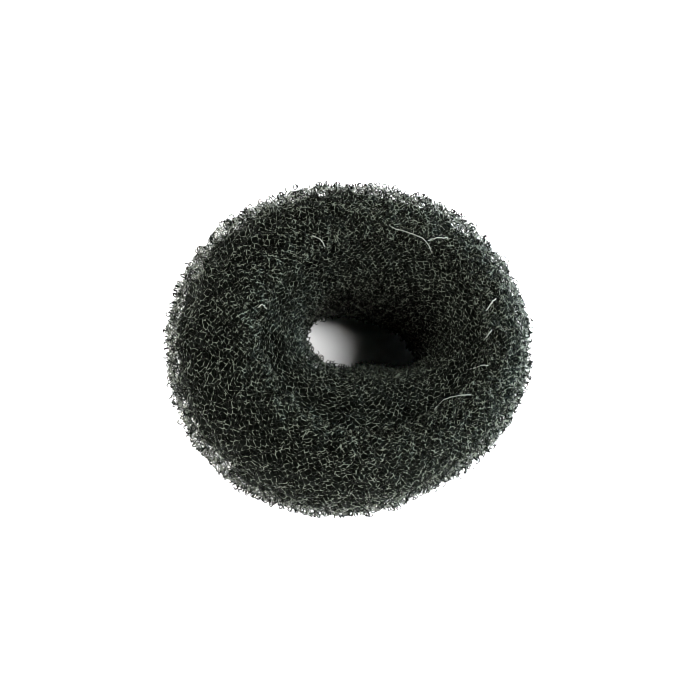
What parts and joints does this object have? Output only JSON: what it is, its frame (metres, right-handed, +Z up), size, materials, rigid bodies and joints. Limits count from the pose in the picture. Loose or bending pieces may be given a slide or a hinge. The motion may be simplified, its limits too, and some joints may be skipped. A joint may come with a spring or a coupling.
{
  "type": "hair donut bun maker",
  "caption": "Soft ring of rolled knitted mesh that a ponytail is pulled through and wrapped round to shape a full hair bun.",
  "frame": {"origin": "centre of the ring's outline on the table that it lies on", "axes": "+Z up, out of the hole; +X along the longer way across the ring; +Y across it"},
  "size_m": [0.0894, 0.0848, 0.0325],
  "materials": {
    "mesh_outer": "black nylon net with a soft satin sheen on its strands",
    "mesh_inner": "black nylon net, finer and packed closer, satin strands"
  },
  "bodies": {
    "root": {"outer_turn": "mesh_outer", "inner_roll": "mesh_inner"}
  },
  "joints": []
}
